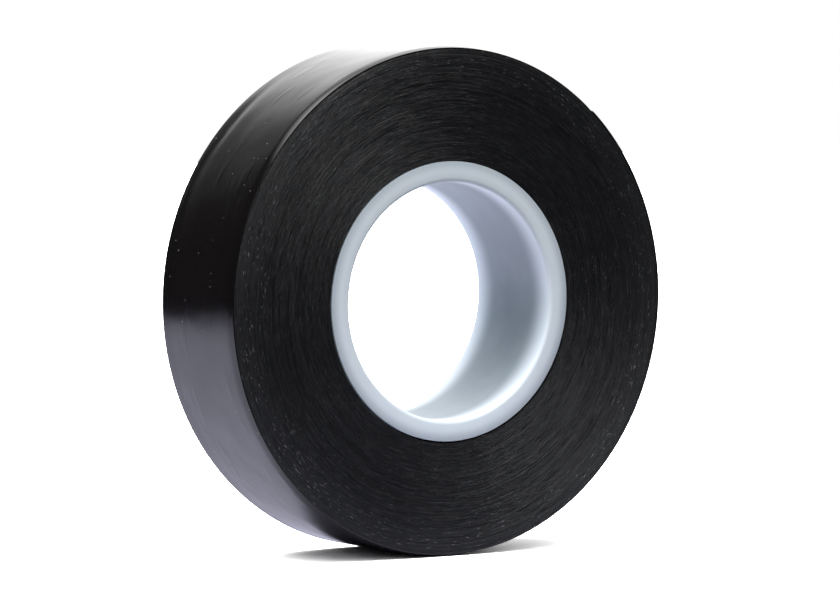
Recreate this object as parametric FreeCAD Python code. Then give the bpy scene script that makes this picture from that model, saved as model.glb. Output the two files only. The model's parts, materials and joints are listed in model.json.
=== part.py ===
import FreeCAD, Part
import math
import os

# A roll of PVC electrical tape: a moulded plastic core, the tape wound on it, and the tape's free end.
#
# The roll stands on its rim. Its axis is Y, +Z is up, and the origin is the middle of the core's bore.
# The tape is one strip, a film with an adhesive coat on its inner side, wound as a true spiral. Seen
# from the front, which is the -Y side, the strip winds outwards anticlockwise. A place along the strip is
# its wound angle: 0 where the strip starts on the core, and 360 more for each lap.
#
# The adhesive bonds the laps into one block, wound_tape, which keeps the spiral: its inner and outer
# walls have the strip's two ends as steps, and both its side faces have a spiral groove between the
# cut edges of the laps. The strip's free end is a tail of short segments. Each is hinged to the one
# before it, so that the free end can be peeled off the roll.
# Lengths are millimetres and angles are degrees.

# Core
CORE_BORE_RADIUS = 17.0
CORE_WALL = 3.0
CORE_BORE_ROUND = 0.6       # radius on both rims of the bore
CORE_OUTER_CHAMFER = 0.15   # breaks both outer rims

# Tape
TAPE_WIDTH = 19.0
TAPE_LENGTH = 20000.0
FILM_THICKNESS = 0.12
ADHESIVE_THICKNESS = 0.02
HAIRLINE = 0.005            # left under a lap that can be peeled off
LAP_GROOVE_DEPTH = 0.15     # the adhesive stops this far inside the film's cut edges
GROOVE_END_MARGIN = 5.0     # how far the groove keeps from the strip's two ends

# Free end
FREE_END_ANGLE = 47.5       # where the strip ends, from +X towards +Z
TAIL_SEGMENTS = 10
SEGMENT_ANGLE = 6.5

# What follows from them
CORE_OUTER_RADIUS = CORE_BORE_RADIUS + CORE_WALL
FRONT = -TAPE_WIDTH / 2
BACK = TAPE_WIDTH / 2
TAPE_THICKNESS = FILM_THICKNESS + ADHESIVE_THICKNESS
LAP_PITCH = TAPE_THICKNESS + HAIRLINE
ROLL_RADIUS = math.sqrt(CORE_OUTER_RADIUS**2 + TAPE_LENGTH * LAP_PITCH / math.pi)
WOUND_ANGLE = 360.0 * (ROLL_RADIUS - CORE_OUTER_RADIUS) / LAP_PITCH
START_ANGLE = FREE_END_ANGLE - WOUND_ANGLE
TAIL_ROOT = WOUND_ANGLE - TAIL_SEGMENTS * SEGMENT_ANGLE

# The spiral is made of half turns about two centres in turn, so that each runs smoothly into the next.
CENTRE_OFFSET = LAP_PITCH / 4
FIRST_RADIUS = CORE_OUTER_RADIUS + CENTRE_OFFSET + HAIRLINE


def spiral_point(wound, height, half_turn=None):
    """Where the spiral crosses the front plane, at a wound angle and a height above the strip's inner side.

    A place where two half turns meet belongs to the later one, unless half_turn names the earlier.
    """
    if half_turn is None:
        half_turn = int(wound // 180)
    start = math.radians(START_ANGLE)
    offset = -CENTRE_OFFSET if half_turn % 2 == 0 else CENTRE_OFFSET
    radius = FIRST_RADIUS + half_turn * LAP_PITCH / 2 + height
    angle = math.radians(START_ANGLE + wound)
    return FreeCAD.Vector(
        offset * math.cos(start) + radius * math.cos(angle),
        FRONT,
        offset * math.sin(start) + radius * math.sin(angle),
    )


def spiral_arcs(begin, end, height):
    """Arcs that follow the strip from one wound angle to another, one for each half turn or part of it."""
    arcs = []
    for half_turn in range(int(begin // 180), math.ceil(end / 180)):
        first = max(begin, 180.0 * half_turn)
        last = min(end, 180.0 * (half_turn + 1))
        middle = (first + last) / 2
        points = [spiral_point(wound, height, half_turn) for wound in (first, middle, last)]
        arcs.append(Part.Arc(*points))
    return arcs


def outline(there, back=()):
    """A closed wire that follows some arcs, then others backwards if given, with a straight cut at each turn."""
    ends = [there[0].StartPoint, there[-1].EndPoint]
    if back:
        ends += [back[-1].EndPoint, back[0].StartPoint]
    cuts = [Part.makeLine(ends[1], ends[2 % len(ends)])]
    if back:
        cuts.append(Part.makeLine(ends[3], ends[0]))
    edges = [arc.toShape() for arc in there]
    edges.append(cuts[0])
    edges += [arc.toShape() for arc in reversed(back)]
    edges += cuts[1:]
    return Part.Wire(edges)


def slab(wire, near, far):
    """The solid that a closed wire on the front plane sweeps between two places along the roll's axis."""
    solid = Part.Face(wire).extrude(FreeCAD.Vector(0, far - near, 0))
    solid.translate(FreeCAD.Vector(0, near - FRONT, 0))
    return solid


def strip_outline(begin, end, bottom, top):
    """The outline of a length of the strip between two wound angles and two heights in its thickness."""
    return outline(spiral_arcs(begin, end, bottom), spiral_arcs(begin, end, top))


def core():
    """The tube that the tape is wound on: rounded at both rims of its bore, with its outer rims broken."""
    bore, outer = CORE_BORE_RADIUS, CORE_OUTER_RADIUS
    rim, chamfer = CORE_BORE_ROUND, CORE_OUTER_CHAMFER
    diagonal = rim * (1 - math.sqrt(0.5))

    def at(radius, y):
        return FreeCAD.Vector(radius, y, 0)

    def rounding(*points):
        return Part.Arc(*[at(*point) for point in points]).toShape()

    def lines(*points):
        return [Part.makeLine(at(*first), at(*second)) for first, second in zip(points, points[1:])]

    section = [
        rounding((bore, BACK - rim), (bore + diagonal, BACK - diagonal), (bore + rim, BACK)),
        *lines(
            (bore + rim, BACK),
            (outer - chamfer, BACK),
            (outer, BACK - chamfer),
            (outer, FRONT + chamfer),
            (outer - chamfer, FRONT),
            (bore + rim, FRONT),
        ),
        rounding((bore + rim, FRONT), (bore + diagonal, FRONT + diagonal), (bore, FRONT + rim)),
        *lines((bore, FRONT + rim), (bore, BACK - rim)),
    ]
    face = Part.Face(Part.Wire(section))
    return face.revolve(FreeCAD.Vector(0, 0, 0), FreeCAD.Vector(0, 1, 0), 360)


def wound_tape():
    """The laps up to the tail's root, bonded into one block that is grooved between their cut edges."""
    outer_lap = outline(spiral_arcs(TAIL_ROOT - 360, TAIL_ROOT, TAPE_THICKNESS))
    inner_lap = outline(spiral_arcs(0, 360, 0))
    groove = strip_outline(
        GROOVE_END_MARGIN,
        TAIL_ROOT - 360 - GROOVE_END_MARGIN,
        TAPE_THICKNESS,
        LAP_PITCH + ADHESIVE_THICKNESS,
    )
    block = slab(outer_lap, FRONT, BACK).cut(slab(inner_lap, FRONT, BACK))
    for near, far in (
        (FRONT - LAP_GROOVE_DEPTH, FRONT + LAP_GROOVE_DEPTH),
        (BACK - LAP_GROOVE_DEPTH, BACK + LAP_GROOVE_DEPTH),
    ):
        block = block.cut(slab(groove, near, far))
    return block


def hinge_point(segment):
    """Where a tail segment's hinge line crosses the front plane: on the film's outer side, at its near end."""
    return spiral_point(TAIL_ROOT + (segment - 1) * SEGMENT_ANGLE, TAPE_THICKNESS)


def parts():
    """Every piece of the roll by its node's name."""
    made = {"core": core(), "wound_tape": wound_tape()}
    for segment in range(1, TAIL_SEGMENTS + 1):
        end = TAIL_ROOT + segment * SEGMENT_ANGLE
        begin = end - SEGMENT_ANGLE
        adhesive = strip_outline(begin, end, 0, ADHESIVE_THICKNESS)
        film = strip_outline(begin, end, ADHESIVE_THICKNESS, TAPE_THICKNESS)
        made[f"tail_adhesive_{segment}"] = slab(adhesive, FRONT, BACK)
        made[f"tail_film_{segment}"] = slab(film, FRONT, BACK)
    return made


def main():
    os.makedirs("parts", exist_ok=True)
    for name, shape in parts().items():
        solid = shape.Solids[0]
        solid.exportStep(f"parts/{name}.step")
        box = solid.BoundBox
        print(f"{name}: {box.XLength:.2f} x {box.YLength:.2f} x {box.ZLength:.2f} mm,"
              f" {solid.Volume / 1000:.4f} cm3, {len(shape.Solids)} solid, valid {solid.isValid()}")
    print(f"{WOUND_ANGLE / 360:.1f} laps, outer diameter {2 * ROLL_RADIUS:.2f} mm")


if __name__ == "__main__":
    main()
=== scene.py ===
# %% [markdown]
# # A roll of electrical tape
# The roll stands on its rim. Its bore runs along Y and +Z is up. The real thing is one strip of soft PVC
# film with an adhesive coat, wound on a plastic core, with a free end that peels off. The CAD model gives
# every size, so this lesson adds what CAD leaves out: softened rims, the edge of every lap, gloss and light.
# The box of the CAD model is kept here.

# %% Load the CAD model
import bpy
import bmesh
import json
import math
from mathutils import Matrix, Vector, noise


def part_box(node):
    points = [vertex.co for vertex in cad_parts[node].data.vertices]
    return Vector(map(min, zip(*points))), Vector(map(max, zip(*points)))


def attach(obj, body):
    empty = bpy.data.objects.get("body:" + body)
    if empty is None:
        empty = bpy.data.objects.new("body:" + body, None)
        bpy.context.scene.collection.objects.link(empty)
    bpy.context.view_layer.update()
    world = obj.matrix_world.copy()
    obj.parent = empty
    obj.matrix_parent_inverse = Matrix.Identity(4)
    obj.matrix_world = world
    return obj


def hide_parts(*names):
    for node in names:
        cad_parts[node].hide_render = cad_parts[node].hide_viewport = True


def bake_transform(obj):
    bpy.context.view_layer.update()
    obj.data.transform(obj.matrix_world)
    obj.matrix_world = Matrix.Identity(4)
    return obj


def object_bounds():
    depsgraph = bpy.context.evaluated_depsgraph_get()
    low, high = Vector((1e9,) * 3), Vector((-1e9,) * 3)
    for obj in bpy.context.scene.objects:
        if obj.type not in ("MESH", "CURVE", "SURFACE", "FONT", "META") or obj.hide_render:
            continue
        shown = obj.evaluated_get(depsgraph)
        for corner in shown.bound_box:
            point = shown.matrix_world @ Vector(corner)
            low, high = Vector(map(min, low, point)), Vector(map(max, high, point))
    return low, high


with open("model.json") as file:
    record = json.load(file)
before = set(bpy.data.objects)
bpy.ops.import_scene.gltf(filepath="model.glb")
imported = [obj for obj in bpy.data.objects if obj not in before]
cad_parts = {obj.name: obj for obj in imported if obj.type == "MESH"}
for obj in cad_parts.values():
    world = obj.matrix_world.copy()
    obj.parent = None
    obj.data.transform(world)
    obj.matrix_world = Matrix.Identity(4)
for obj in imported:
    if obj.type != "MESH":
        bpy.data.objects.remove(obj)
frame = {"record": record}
cad_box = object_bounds()
MM = 0.001
print("CAD model, mm:", [round(side / MM, 2) for side in cad_box[1] - cad_box[0]])

# %% [markdown]
# ## Sizes of the winding
# The tape is a true spiral: each lap adds one pitch to the radius. A spiral can be drawn with plain arcs,
# if half turns go about two centres in turn, a quarter of the pitch to each side of the axis. This is how
# the CAD model does it, and a spin in Blender can follow it exactly. A place along the strip is counted in
# degrees of winding from the start on the core.

# %% Sizes of the winding
TAPE_LENGTH = 20.0
FILM = 0.12 * MM
ADHESIVE = 0.02 * MM
PITCH = 0.145 * MM
TAIL_SEGMENTS = 10
SEGMENT_ANGLE = 6.5
FREE_END_ANGLE = 47.5

core_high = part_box("core")[1]
CORE_RADIUS = core_high.x
BORE_RADIUS = frame["record"]["mounts"][0]["dims"]["r_mm"] * MM
EDGE = core_high.y
ROLL_RADIUS = math.sqrt(CORE_RADIUS**2 + TAPE_LENGTH * PITCH / math.pi)
WOUND = 360 * (ROLL_RADIUS - CORE_RADIUS) / PITCH
ROOT = WOUND - TAIL_SEGMENTS * SEGMENT_ANGLE
START_ANGLE = FREE_END_ANGLE - WOUND
START_WAY = Vector((math.cos(math.radians(START_ANGLE)), 0, math.sin(math.radians(START_ANGLE))))
FIRST_RADIUS = CORE_RADIUS + PITCH / 4 + (PITCH - FILM - ADHESIVE)
print(f"{WOUND / 360:.1f} laps, {2 * ROLL_RADIUS / MM:.2f} mm across, {2 * EDGE / MM:.1f} mm wide")


def centre_of(half_turn):
    """The centre that a half turn of the spiral goes about."""
    return START_WAY * (PITCH / 4 if half_turn % 2 else -PITCH / 4)


def radius_at(half_turn):
    """The radius of the strip's inner side about that centre."""
    return FIRST_RADIUS + half_turn * PITCH / 2


# %% [markdown]
# ## Camera
# A long lens from far away keeps the two rims nearly parallel, which suits a small product. The camera
# stands to the left of the roll and slightly above its middle, and looks almost at the axis.

# %% Camera
AZIMUTH = math.radians(-32.95)
ELEVATION = math.radians(3.67)
DISTANCE = 0.8353
LENS = 249.1
AIM_RIGHT = 0.76 * MM
AIM_UP = -0.30 * MM
back = Vector((
    math.sin(AZIMUTH) * math.cos(ELEVATION),
    -math.cos(AZIMUTH) * math.cos(ELEVATION),
    math.sin(ELEVATION),
))
facing = (-back).to_track_quat("-Z", "Y")
aim = facing @ Vector((AIM_RIGHT, AIM_UP, 0))
camera = bpy.data.objects.new("camera", bpy.data.cameras.new("camera"))
bpy.context.scene.collection.objects.link(camera)
camera.data.lens = LENS
camera.data.sensor_width = 36
camera.data.clip_end = 20
camera.rotation_mode = "QUATERNION"
camera.rotation_quaternion = facing
camera.location = aim + back * DISTANCE
bpy.context.scene.camera = camera
bpy.context.scene.view_settings.view_transform = "Standard"
print("camera at", [round(c, 3) for c in camera.location])

# %% [markdown]
# ## Shader sums as plain Python
# Nodes are quickest to read as sums. This class wraps one socket of a node tree, so that adding or
# multiplying two values adds the Math node for it. Everything else goes through one method, add, which
# takes a node's type, its settings and what feeds its sockets.

# %% Shader sums
class Value:
    """A socket of a node tree that can be used in Python sums."""

    def __init__(self, tree, socket):
        self.tree = tree
        self.socket = socket

    def add(self, kind, settings=None, inputs=None, output=0):
        """Adds a node of any type and returns one of its outputs."""
        node = self.tree.nodes.new(kind)
        for name, setting in (settings or {}).items():
            setattr(node, name, setting)
        for name, value in (inputs or {}).items():
            if isinstance(value, Value):
                self.tree.links.new(value.socket, node.inputs[name])
            else:
                node.inputs[name].default_value = value
        return Value(self.tree, node.outputs[output]) if node.outputs else None

    def math(self, operation, *others):
        """This value and others, put through one Math node."""
        inputs = dict(enumerate((self, *others)))
        return self.add("ShaderNodeMath", {"operation": operation}, inputs)

    def __add__(self, other):
        return self.math("ADD", other)

    def __sub__(self, other):
        return self.math("SUBTRACT", other)

    def __mul__(self, other):
        return self.math("MULTIPLY", other)

    def __truediv__(self, other):
        return self.math("DIVIDE", other)

    def __pow__(self, other):
        return self.math("POWER", other)

    def __rsub__(self, other):
        return (self * -1) + other

    __radd__ = __add__
    __rmul__ = __mul__

    def between(self, low, high):
        """0 below low, 1 above high, and smooth between them."""
        inputs = {"Value": self, "From Min": low, "From Max": high}
        return self.add("ShaderNodeMapRange", {"interpolation_type": "SMOOTHSTEP"}, inputs)

    def mix(self, first, second):
        """A colour that goes from first to second as this value goes from 0 to 1."""
        inputs = {0: self, 6: first, 7: second}
        return self.add("ShaderNodeMix", {"data_type": "RGBA"}, inputs, output=2)

    def parts(self):
        """The x, y and z of a vector."""
        node = self.add("ShaderNodeSeparateXYZ", inputs={0: self}).socket.node
        return [Value(self.tree, output) for output in node.outputs]

    def joined(self, y, z):
        """A vector made of this value, y and z."""
        return self.add("ShaderNodeCombineXYZ", inputs={0: self, 1: y, 2: z})


def grey(level, blue=1.0):
    """A grey, or a cool grey where blue is over 1."""
    return (level, level, level * blue, 1)


print("a cool grey:", grey(0.5, 1.2))

# %% [markdown]
# ## Studio light
# Black gloss shows the room, not itself, so the room is the most important material here. A large soft
# box hangs over the roll, a white backdrop stands behind it to the right, and the left of the room stays
# dark: that gives the film its bright top and its black middle. A weaker light high above the camera brings
# out the edges of the laps. Painting them on the world, as soft masks on the direction, gives reflections
# with soft edges and no noise. The camera itself sees plain white.

# %% Studio light
world = bpy.data.worlds.new("studio")
bpy.context.scene.world = world
world.use_nodes = True
world.node_tree.nodes.clear()
sky = Value(world.node_tree, None)
east, north, up = sky.add("ShaderNodeTexCoord").parts()

ROOM_DARK = 0.02
OVERHEAD_LIGHT = 7.0
BACKDROP_LIGHT = 1.85
BACKDROP_GLOW = 0.24
CAMERA_SIDE_LIGHT = 1.75


def lamp(azimuth, elevation, edge, middle):
    """A soft round light on the room's wall: 0 outside the edge angle, 1 inside the middle angle."""
    a = math.radians(azimuth)
    e = math.radians(elevation)
    flat = east * math.sin(a) + north * math.cos(a)
    nearness = flat * math.cos(e) + up * math.sin(e)
    return nearness.between(math.cos(math.radians(edge)), math.cos(math.radians(middle)))


light = (
    lamp(azimuth=-60, elevation=82, edge=44, middle=16) * OVERHEAD_LIGHT
    + lamp(azimuth=48, elevation=8, edge=58, middle=24) * BACKDROP_LIGHT
    + lamp(azimuth=48, elevation=8, edge=72, middle=59) * BACKDROP_GLOW
    + lamp(azimuth=-150, elevation=52, edge=48, middle=22) * CAMERA_SIDE_LIGHT
    + ROOM_DARK
)
room = sky.add("ShaderNodeBackground", inputs={"Color": grey(1.0), "Strength": light})
plain = sky.add("ShaderNodeBackground", inputs={"Color": grey(1.0), "Strength": 1.0})
seen = sky.add("ShaderNodeLightPath", output="Is Camera Ray")
shown = sky.add("ShaderNodeMixShader", inputs={0: seen, 1: room, 2: plain})
sky.add("ShaderNodeOutputWorld", inputs={"Surface": shown})
print("room painted with", len(world.node_tree.nodes), "nodes")

# %% [markdown]
# ## Materials start the same way
# Each material is a Principled shader. What is the same all over goes straight on its sockets. What varies
# is worked out as sums of patterns and linked in. Patterns read Object coordinates, which are metres in
# the model's own frame, because every piece sits at the origin.

# %% Materials start the same way


def new_material(name, settings):
    """A material with a Principled shader, and the Value that its patterns start from."""
    material = bpy.data.materials.new(name)
    material.use_nodes = True
    material.node_tree.nodes.clear()
    paint = Value(material.node_tree, None)
    shader = paint.add("ShaderNodeBsdfPrincipled", inputs=settings)
    paint.add("ShaderNodeOutputMaterial", inputs={"Surface": shader})
    return material, paint, shader.socket.node.inputs


def feed(sockets, **values):
    """Links worked-out values to a shader's sockets; an underscore in a name stands for a space."""
    for name, value in values.items():
        value.tree.links.new(value.socket, sockets[name.replace("_", " ")])


def noise_at(place, scale, detail=2.0):
    """A noise between 0 and 1 at a place."""
    inputs = {"Vector": place, "Scale": scale, "Detail": detail}
    return place.add("ShaderNodeTexNoise", {"noise_dimensions": "3D"}, inputs)


def bumped(height, distance):
    """A normal that stands out with a height, in units of distance."""
    return height.add("ShaderNodeBump", inputs={"Height": height, "Distance": distance, "Strength": 1.0})


def round_place(paint):
    """Where a point is on a round thing about the Y axis: radius, way round as two values, and Y."""
    x, y, z = paint.add("ShaderNodeTexCoord", output="Object").parts()
    radius = (x * x + z * z) ** 0.5
    return radius, x / radius, z / radius, y


# %% [markdown]
# ## Floor
# A pale sheet under the roll, at the height of its lowest point. Its light falls off away from the roll,
# as it does under a soft box, so the film reflects it brightest near the floor. For a catalogue the sheet
# is over-exposed until only the contact shadow is left. The same is done here, by a brighter copy of the
# sheet's finish that only the camera sees. The sheet also throws more light on matt things than gloss
# shows of it, which stands for the white walls around a real table.

# %% Floor
FLOOR_HALF = 1.2
LIT_PLACE = (-0.03, 0.06)
LIT_REACH = 0.08
DARK_REACH = 0.36
FRONT_LIT = 0.0
FRONT_DARK = 0.065
SHEET = 0.47
BOUNCE = 0.72
EXPOSURE = 4.7

floor_mesh = bpy.data.meshes.new("floor")
bm = bmesh.new()
bmesh.ops.create_grid(bm, x_segments=1, y_segments=1, size=FLOOR_HALF)
bmesh.ops.translate(bm, verts=bm.verts, vec=(0, 0, cad_box[0].z))
bm.to_mesh(floor_mesh)
bm.free()
floor = bpy.data.objects.new("floor", floor_mesh)
bpy.context.scene.collection.objects.link(floor)
sheet = bpy.data.materials.new("floor_sheet")
sheet.use_nodes = True
sheet.node_tree.nodes.clear()
paint = Value(sheet.node_tree, None)
x, y = paint.add("ShaderNodeTexCoord", output="Object").parts()[:2]
away = ((x - LIT_PLACE[0]) ** 2 + (y - LIT_PLACE[1]) ** 2) ** 0.5
lit = away.between(DARK_REACH, LIT_REACH) * y.between(-FRONT_DARK, -FRONT_LIT)
bounce = paint.add("ShaderNodeLightPath", output="Is Diffuse Ray")
lit = lit.mix(grey(0.0), bounce.mix(grey(SHEET, 1.24), grey(BOUNCE, 1.15)))
reflected = paint.add("ShaderNodeBsdfDiffuse", inputs={"Color": lit})
exposed = paint.add("ShaderNodeBsdfDiffuse", inputs={"Color": grey(SHEET * EXPOSURE)})
seen = paint.add("ShaderNodeLightPath", output="Is Camera Ray")
both = paint.add("ShaderNodeMixShader", inputs={0: seen, 1: reflected, 2: exposed})
paint.add("ShaderNodeOutputMaterial", inputs={"Surface": both})
floor.data.materials.append(sheet)
print("floor at", round(cad_box[0].z / MM, 2), "mm")

# %% [markdown]
# ## Making a piece
# Every piece is built in a bmesh and then handled the same way: its normals are made to point outwards, it
# is shaded smooth except across sharp corners, it gets its material, and it hides the CAD nodes that it
# stands for. What it moves with is said afterwards, because that differs from piece to piece.

# %% Making a piece


def finish_piece(bm, name, material, nodes, sharp=35):
    """Turns a bmesh into a finished object that stands for some CAD nodes."""
    bmesh.ops.recalc_face_normals(bm, faces=bm.faces)
    mesh = bpy.data.meshes.new(name)
    bm.to_mesh(mesh)
    bm.free()
    mesh.shade_smooth()
    mesh.set_sharp_from_angle(angle=math.radians(sharp))
    mesh.materials.append(material)
    piece = bpy.data.objects.new(name, mesh)
    bpy.context.scene.collection.objects.link(piece)
    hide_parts(*nodes)
    print(f"{name}: {len(mesh.polygons)} faces")
    return piece


def bevel_corners(bm, verts, size, segments):
    """Rounds the corners of a flat outline."""
    bmesh.ops.bevel(
        bm, geom=verts, offset=size, segments=segments, profile=0.5, material=-1, affect="VERTICES"
    )


# %% [markdown]
# ## Core
# The core is a short tube of white plastic, rounded at both ends of its bore. The quickest way to make
# such a ring is to draw half of its section, a rectangle with its corners rounded off, and spin it about
# the axis. The section's own face is removed first, because after a full turn it would be inside.

# %% Core
BORE_ROUND = 0.6 * MM
OUTER_BREAK = 0.15 * MM
LENGTH_CUTS = 11
CORE_STEPS = 192
bm = bmesh.new()
corners = [
    bm.verts.new((radius, y, 0))
    for radius, y in (
        (BORE_RADIUS, -EDGE), (CORE_RADIUS, -EDGE), (CORE_RADIUS, EDGE), (BORE_RADIUS, EDGE),
    )
]
bm.faces.new(corners)
bevel_corners(bm, [corners[0], corners[3]], BORE_ROUND, segments=8)
outer_corners = [v for v in bm.verts if v.co.x > CORE_RADIUS - OUTER_BREAK]
bevel_corners(bm, outer_corners, OUTER_BREAK, segments=2)
bmesh.ops.delete(bm, geom=list(bm.faces), context="FACES_ONLY")
long_edges = [e for e in bm.edges if abs(e.verts[0].co.y - e.verts[1].co.y) > EDGE]
bmesh.ops.subdivide_edges(bm, edges=long_edges, cuts=LENGTH_CUTS)
bmesh.ops.spin(
    bm,
    geom=list(bm.verts) + list(bm.edges),
    cent=(0, 0, 0),
    axis=(0, 1, 0),
    angle=math.tau,
    steps=CORE_STEPS,
    use_merge=True,
)
core_bm = bm
print("core ring:", len(bm.verts), "points")

# %% [markdown]
# ## Core plastic
# Polyethylene lets light in and scatters it, so the ends glow; subsurface scattering gives the glow. The
# middle of the bore is painted darker and bluer, as painted shade deep in the wall. The colour is also
# painted a little greyer towards the outside, as painted shade where the black tape behind the thin wall
# drinks the light.

# %% Core plastic
MILKY = (0.75, 0.825, 0.89, 1)
MILKY_SHADED_NEAR_TAPE = (0.47, 0.54, 0.60, 1)
SHADE_DEEP_IN_BORE = (0.19, 0.235, 0.275, 1)
CLOUDY = (0.80, 0.84, 0.88, 1)
core_plastic, paint, sockets = new_material(
    "core_plastic",
    {
        "Subsurface Weight": 0.15,
        "Subsurface Scale": 2.2 * MM,
        "Subsurface Radius": (0.8, 1.0, 1.2),
        "IOR": 1.5,
    },
)
radius, way_x, way_z, y = round_place(paint)
# painted shade: greyer towards the outside, where the black tape behind the wall drinks the light
shade_near_tape = radius.between(CORE_RADIUS - 1.7 * MM, CORE_RADIUS)
depth = y.math("ABSOLUTE").between(EDGE, EDGE - 5 * MM)
# painted shade: the middle of the bore is painted darker and bluer
bore_middle_shade = (1 - radius.between(BORE_RADIUS + 0.1 * MM, BORE_RADIUS + 0.7 * MM)) * depth
cloud = noise_at(way_x.joined(y * 60, way_z), 3.0, 3.0)
colour = (bore_middle_shade * 0.9).mix(shade_near_tape.mix(MILKY, MILKY_SHADED_NEAR_TAPE), SHADE_DEEP_IN_BORE)
colour = (cloud.between(0.35, 0.75) * 0.06).mix(colour, CLOUDY)
feed(sockets, Base_Color=colour, Roughness=0.34 + bore_middle_shade * 0.14)
core_tube = finish_piece(core_bm, "core_tube", core_plastic, ["core"])
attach(core_tube, "roll")

# %% [markdown]
# ## The softened rims
# Tape is slit and wound under tension, so its outer laps aren't flat across their width. At the front they
# sink slowly towards the edge and then roll over it. At the back they dip and come up again to a low lip,
# mostly on the upper left. These shapes are tenths of a millimetre, but gloss shows them: the front rim
# catches the overhead light as a bright line, and the lip mirrors the dark side of the room. One function
# moves points from the straight CAD shape to this one, so laps, outer film and tail still fit each other.

# %% The softened rims
SINK_DEPTH = 0.08 * MM
SINK_REACH = 4.0 * MM
ROLL_OVER = 0.18 * MM
ROLL_OVER_REACH = 1.3 * MM
DIP_DEPTH = 0.15 * MM
DIP_ALL_ROUND = 0.12
LIP_ANGLE = 137
LIP_REACH = 10
DIP_PLACE = EDGE - 2.1 * MM
DIP_HALF_WIDTH = 0.95 * MM
SOFT_DEPTH = 3.0 * MM
FACE_FALL = 0.06 * MM


def hump(value, middle, reach):
    """A smooth hump, 1 in the middle and nearly 0 at twice its reach."""
    return math.exp(-(((value - middle) / reach) ** 2))


def soften_rims(bm):
    """Rolls the outer laps over at the front edge, and dips them near the back edge."""
    for v in bm.verts:
        radius = math.hypot(v.co.x, v.co.z)
        depth = max(0.0, ROLL_RADIUS - radius)
        if depth > SOFT_DEPTH:
            continue
        share = (1 - depth / SOFT_DEPTH) ** 1.5
        slow = max(0.0, (SINK_REACH - EDGE - v.co.y) / SINK_REACH)
        fast = max(0.0, (ROLL_OVER_REACH - EDGE - v.co.y) / ROLL_OVER_REACH)
        angle = math.degrees(math.atan2(v.co.z, v.co.x)) % 360
        here = DIP_ALL_ROUND + (1 - DIP_ALL_ROUND) * hump(angle, LIP_ANGLE, LIP_REACH)
        dip = hump(v.co.y, DIP_PLACE, DIP_HALF_WIDTH) * here
        sink = share * (SINK_DEPTH * slow**2 + ROLL_OVER * fast**1.5 + DIP_DEPTH * dip)
        v.co.x *= 1 - sink / radius
        v.co.z *= 1 - sink / radius
        if fast > 0:
            v.co.y += FACE_FALL * share**4


print("the outer lap's front rim sinks by", round((SINK_DEPTH + ROLL_OVER) / MM, 2), "mm")

# %% [markdown]
# ## Spinning a section along the winding
# A spin about a fixed centre makes a circle. For the spiral, the section is spun to the end of each half
# turn about that half turn's own centre, and the next spin goes on from the last outline. The two ends
# are closed at the end, so the piece is a solid.

# %% Spinning a section along the winding


def section_at(bm, wound, heights_and_ys):
    """A closed outline across the strip at a wound angle, from heights above its inner side and ys."""
    half_turn = int(wound // 180)
    way = Matrix.Rotation(math.radians(-START_ANGLE - wound), 3, "Y") @ Vector((1, 0, 0))
    centre = centre_of(half_turn)
    radius = radius_at(half_turn)
    verts = [
        bm.verts.new(centre + way * (radius + height) + Vector((0, y, 0)))
        for height, y in heights_and_ys
    ]
    return [bm.edges.new(pair) for pair in zip(verts, verts[1:] + verts[:1])]


def spin_along(bm, edges, begin, end, step):
    """Spins an outline from one wound angle to another and closes both ends."""
    ends = [edges]
    while begin < end - 0.001:
        half_turn = int((begin + 0.001) // 180)
        stop = min(end, 180 * (half_turn + 1))
        around = bmesh.ops.spin(
            bm,
            geom=edges + list({v for e in edges for v in e.verts}),
            cent=centre_of(half_turn),
            axis=(0, -1, 0),
            angle=math.radians(stop - begin),
            steps=max(1, round((stop - begin) / step)),
        )
        edges = [g for g in around["geom_last"] if isinstance(g, bmesh.types.BMEdge)]
        begin = stop
    ends.append(edges)
    for outline in ends:
        bmesh.ops.contextual_create(bm, geom=outline)


print("radius of the strip's end, mm:", round((radius_at(int(WOUND // 180)) + FILM + ADHESIVE) / MM, 3))

# %% [markdown]
# ## Laps seen from the side
# The side face is the cut edges of more than a hundred laps. The section starts as one straight edge from
# the core to the last lap but one. Cutting it in three parts a lap and pushing in every third point gives
# the groove between two laps. After the spin, each lap is moved in or out a little, as on any real roll,
# where the winding wanders. Front and back are two pieces that meet in the middle of the width.

# %% Laps seen from the side
LAP_CUT = 0.055 * MM
WANDER = 0.030 * MM
WANDER_PER_LAP = 2.3
GROUP_WANDER = 0.040 * MM
GROUPS_PER_METRE = 1900
PACK_STEPS = 1.45
pack_begin = ROOT - 360 * int(ROOT // 360)
pack_laps = int(ROOT // 360) - 1


def wander(v):
    """How far a lap's edge is pushed in at this place of the winding."""
    around = (math.degrees(math.atan2(v.co.z, v.co.x)) - START_ANGLE) % 360 / 360
    radius = math.hypot(v.co.x, v.co.z)
    lap = math.floor((radius - CORE_RADIUS) / PITCH - around + 0.07)
    along = (lap + around) * WANDER_PER_LAP
    single = noise.noise((along, 0.7, 3.1)) + 0.5 * noise.noise((along * 4.1, 9.2, 1.7))
    way = Vector((v.co.x, v.co.z)) * 1.3 / radius
    group = noise.noise((radius * GROUPS_PER_METRE, way.x, way.y))
    return WANDER * abs(single) + GROUP_WANDER * max(0.0, group)


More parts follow.
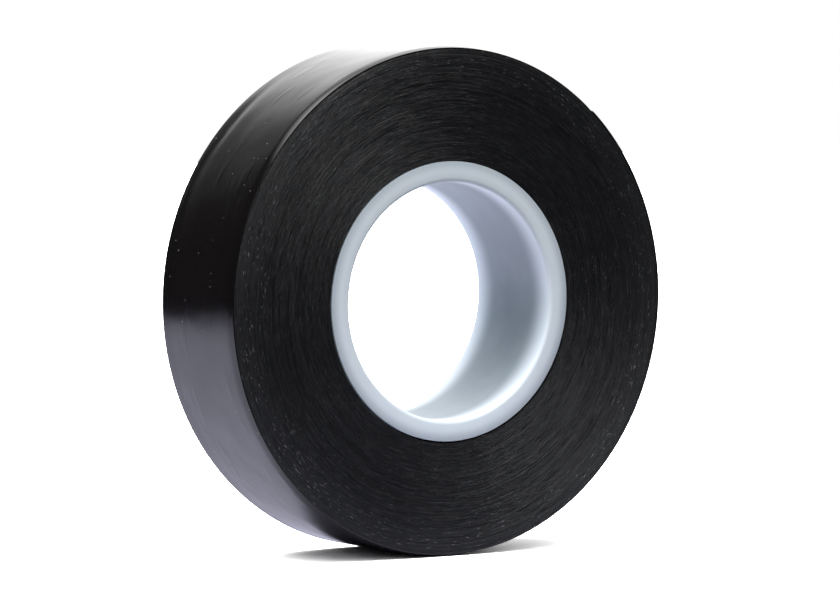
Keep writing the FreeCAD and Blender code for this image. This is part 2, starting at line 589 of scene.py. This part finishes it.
def lap_edges(side):
    """One half of the wound block, with the edge of every lap on its side face."""
    bm = bmesh.new()
    top = pack_laps * PITCH
    outline = section_at(bm, pack_begin, [(0, side * EDGE), (top, side * EDGE), (top, 0), (0, 0)])
    face_edge = outline[0]
    cut = bmesh.ops.subdivide_edges(bm, edges=[face_edge], cuts=3 * pack_laps - 1)
    inner_points = sorted(
        (g for g in cut["geom_inner"] if isinstance(g, bmesh.types.BMVert)),
        key=lambda v: v.co.length,
    )
    for number, v in enumerate(inner_points, start=1):
        if number % 3 == 0:
            v.co.y -= side * LAP_CUT
    spin_along(bm, list(bm.edges), pack_begin, pack_begin + 360, PACK_STEPS)
    for v in bm.verts:
        if abs(v.co.y) > EDGE / 2:
            v.co.y -= side * wander(v)
    soften_rims(bm)
    return bm


print(pack_laps, "laps in the block under the outer lap")

# %% [markdown]
# ## Cut edge of the tape
# The cut film is matt, nearly black and slightly torn by the blade. The patterns run round the roll: they
# are noise on a place made of the radius and the way round, stretched so that one grain is a short dash
# along a lap. Long rings are laps that sit a little deeper, and they are painted dark as painted shade.
# Short light flecks are where film is scratched or a hair of adhesive is drawn out, and there are more of
# them near the rim.

# %% Cut edge of the tape
DARK_BAND = (0.0014, 0.002, 0.003, 1)
LIGHT_BAND = (0.0052, 0.0058, 0.007, 1)
HAIR = (0.026, 0.026, 0.028, 1)
NICK = (0.045, 0.045, 0.048, 1)
RING_SHADE = (0.001, 0.001, 0.0012, 1)
RIM = (0.022, 0.023, 0.025, 1)
FLECK = (0.26, 0.26, 0.27, 1)
lap_matt, paint, sockets = new_material("cut_tape_edge", {"IOR": 1.5, "Specular IOR Level": 0.38})
radius, way_x, way_z = round_place(paint)[:3]


def dashes(seed, length, width):
    """Noise in dashes along the laps, of about this length and width in millimetres."""
    turn = 30 / length
    return noise_at((way_x * turn).joined(radius / (width * MM) + seed, way_z * turn), 1.0, 2.0)


band = dashes(0, 14, 1.0)
streak = dashes(40, 5.0, 0.42)
hair = dashes(90, 3.6, 0.22)
grain = dashes(120, 0.6, 0.18)
ring = dashes(200, 24, 0.30).between(0.54, 0.66)
nick = dashes(70, 2.4, 0.15).between(0.54, 0.72)
fleck = dashes(150, 0.7, 0.17).between(0.65, 0.70)
patch = noise_at(way_x.joined(radius * 90, way_z), 2.2, 2.0).between(0.40, 0.70)
rim = radius.between(ROLL_RADIUS - 6 * MM, ROLL_RADIUS - 1.5 * MM)
smooth_band = radius.between(ROLL_RADIUS - 1.6 * MM, ROLL_RADIUS - 1.2 * MM)
fleck_share = fleck * (0.1 + patch * 0.3 + rim * 0.6) * (1 - smooth_band * 0.5)
base = band.between(0.3, 0.7).mix(DARK_BAND, LIGHT_BAND)
base = (hair.between(0.50, 0.72) * 0.5).mix(base, HAIR)
base = (nick * (1 - smooth_band * 0.7) * 0.45).mix(base, NICK)
# painted shade: the rings of the deeper-lying laps are painted darker
base = (ring * 0.8).mix(base, RING_SHADE)
base = (rim * 0.42 + smooth_band * 0.2).mix(base, RIM)
rough_height = streak * 1.0 + hair * 0.9 + grain * 0.5 - ring * 0.4
feed(
    sockets,
    Base_Color=(fleck_share * 0.8).mix(base, FLECK),
    Roughness=0.40 + streak * 0.2,
    Normal=bumped(rough_height * (1 - smooth_band * 0.3), 0.16 * MM),
)
print("cut edge painted with", len(lap_matt.node_tree.nodes), "nodes")

# %% [markdown]
# ## Both halves of the block
# The same function makes the front half and the back half, with the side as its only difference. Both stand
# for the one CAD node of the wound tape, and both ride on the roll.

# %% Both halves of the block
for side, name in ((-1, "lap_edges_front"), (1, "lap_edges_back")):
    block = finish_piece(lap_edges(side), name, lap_matt, ["wound_tape"], sharp=25)
    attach(block, "roll")

# %% [markdown]
# ## Film gloss
# Glossy PVC film is black under a clear, slightly wavy skin. The waves are what break up a reflection in
# soft plastic, so the bump has long low ripples across the width and fine stretch lines along the strip.
# A few dots of dust sit on it: they are cells of a Voronoi pattern, of which only some are picked.

# %% Film gloss
BLACK_FILM = (0.0035, 0.003, 0.003, 1)
DUST = (0.16, 0.16, 0.16, 1)
film_gloss, paint, sockets = new_material("glossy_film", {"IOR": 1.5})
place = paint.add("ShaderNodeTexCoord", output="Object")
way_x, way_z, y = round_place(paint)[1:]
ripple = noise_at((way_x * 3).joined(y * 60, way_z * 3), 1.0, 1.0)
wave = noise_at((way_x * 6).joined(y * 150, way_z * 6), 1.0, 1.0)
crease = noise_at((way_x * 5).joined(y * 420, way_z * 5), 1.0, 2.0).between(0.56, 0.72)
stretch = noise_at((way_x * 1.2).joined(y * 1400, way_z * 1.2), 1.0, 3.0)
cell = paint.add("ShaderNodeTexVoronoi", inputs={"Vector": place, "Scale": 900})
picked = Value(paint.tree, cell.socket.node.outputs["Color"]).between(0.64, 0.66)
dust = cell.between(0.11, 0.05) * picked * noise_at(place, 60).between(0.40, 0.60)
height = ripple * 1.4 + wave * 0.7 + crease * 0.12 + stretch * 0.015
feed(
    sockets,
    Base_Color=dust.mix(BLACK_FILM, DUST),
    Roughness=0.13 + stretch * 0.06 + dust * 0.3,
    Normal=bumped(height, 0.12 * MM),
)
print("film painted with", len(film_gloss.node_tree.nodes), "nodes")

# %% [markdown]
# ## Outer film
# The last lap on the roll is the strip itself, with its full thickness: a rectangle with slightly dropped
# corners, spun once round. Its points lie closer together towards the edges, where the rims are softened.
# Under the tail the lap is pressed in by less than a tenth of a millimetre, which leaves room for the tail
# to bend.

# %% Outer film
SHOULDER = 0.03 * MM
POINTS_ACROSS = 18
TO_EDGE = 2.1
TAIL_ROOM = 0.08 * MM
ROOM_STARTS_OVER = 3
ROOM_ENDS_OVER = 2
TAIL_ANGLE = TAIL_SEGMENTS * SEGMENT_ANGLE
LAP_STEPS = 1.0


def strip_section(bottom, top):
    """The strip's outline: flat faces, slightly dropped corners, and more points near the edges."""
    shoulder = min(SHOULDER, (top - bottom) / 2)
    ys = [EDGE * (1 - (1 - i / POINTS_ACROSS) ** TO_EDGE) for i in range(POINTS_ACROSS + 1)]
    across = [-y for y in reversed(ys[1:])] + ys
    over = [(top - (shoulder if abs(abs(y) - EDGE) < 1e-9 else 0), y) for y in across]
    under = [(bottom, y) for y in reversed(across)]
    return over + under


bm = bmesh.new()
outline = section_at(bm, ROOT - 360, strip_section(0, FILM + ADHESIVE))
spin_along(bm, outline, ROOT - 360, ROOT, LAP_STEPS)
for v in bm.verts:
    past_root = (math.degrees(math.atan2(v.co.z, v.co.x)) - FREE_END_ANGLE + TAIL_ANGLE) % 360
    to_end = TAIL_ANGLE + ROOM_ENDS_OVER - past_root
    ramp = max(0.0, min(1.0, past_root / ROOM_STARTS_OVER, to_end / ROOM_ENDS_OVER))
    room = TAIL_ROOM * ramp**2 * (3 - 2 * ramp)
    v.co.x *= 1 - room / ROLL_RADIUS
    v.co.z *= 1 - room / ROLL_RADIUS
soften_rims(bm)
outer_lap = finish_piece(bm, "outer_lap", film_gloss, ["wound_tape"])
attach(outer_lap, "roll")

# %% [markdown]
# ## Adhesive coat
# Rubber adhesive is nearly black and a little wet. It only shows on the inner side of the free end, once
# that is peeled off, so it is a thin piece of its own there. Its finish is a fine mottle.

# %% Adhesive coat
DARK_ADHESIVE = (0.008, 0.0075, 0.007, 1)
LIGHT_ADHESIVE = (0.018, 0.017, 0.016, 1)
adhesive_paint, paint, sockets = new_material("adhesive_coat", {"IOR": 1.5, "Specular IOR Level": 0.35})
place = paint.add("ShaderNodeTexCoord", output="Object")
mottle = noise_at(place, 700, 4.0)
feed(
    sockets,
    Base_Color=mottle.between(0.3, 0.7).mix(DARK_ADHESIVE, LIGHT_ADHESIVE),
    Roughness=0.30 + mottle * 0.25,
    Normal=bumped(mottle, 0.02 * MM),
)
print("adhesive painted with", len(adhesive_paint.node_tree.nodes), "nodes")

# %% [markdown]
# ## The free end
# The tail is one flexible strip, but it moves in ten hinged steps. Each piece here reaches from the middle
# of one step to the middle of the next, across one hinge. The last piece ends in a cut that isn't quite
# straight, as a finger or a blade leaves it.

# %% The free end
CUT_WAVE = 0.25 * MM
WAVES_PER_METRE = 160
TAIL_STEPS = 0.55


def on_spiral(wound, height):
    """The point half way across the strip at a wound angle and height."""
    half_turn = int(wound // 180)
    way = Matrix.Rotation(math.radians(-START_ANGLE - wound), 3, "Y") @ Vector((1, 0, 0))
    return centre_of(half_turn) + way * (radius_at(half_turn) + height)


def tail_piece(begin, end, bottom, top, last):
    """A length of the tail. The last one ends in a wavy cut, always a little short of the straight end."""
    bm = bmesh.new()
    outline = section_at(bm, begin, strip_section(bottom, top))
    spin_along(bm, outline, begin, end, TAIL_STEPS)
    if last:
        tip = on_spiral(end, 0)
        along = Vector((-tip.z, 0, tip.x)).normalized()
        for v in bm.verts:
            if (v.co - tip).dot(along) > -0.05 * MM:
                v.co += along * CUT_WAVE * (noise.noise((v.co.y * WAVES_PER_METRE, 4.0, 0)) - 0.6)
    soften_rims(bm)
    return bm


for step in range(1, TAIL_SEGMENTS + 1):
    hinge = ROOT + (step - 1) * SEGMENT_ANGLE
    begin = hinge if step == 1 else hinge - SEGMENT_ANGLE / 2
    last = step == TAIL_SEGMENTS
    end = WOUND if last else hinge + SEGMENT_ANGLE / 2
    bend = {
        "start": on_spiral(begin, FILM + ADHESIVE),
        "end": on_spiral(hinge + SEGMENT_ANGLE / 2, FILM + ADHESIVE),
    }
    layers = (
        ("film", ADHESIVE, FILM + ADHESIVE, film_gloss, "pvc_film"),
        ("adhesive", 0, ADHESIVE, adhesive_paint, "adhesive"),
    )
    for layer, bottom, top, material, slot in layers:
        bm = tail_piece(begin, end, bottom, top, last)
        node = f"tail_{layer}_{step}"
        piece = finish_piece(bm, f"peel_{layer}_{step}", material, [node])
        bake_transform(piece)
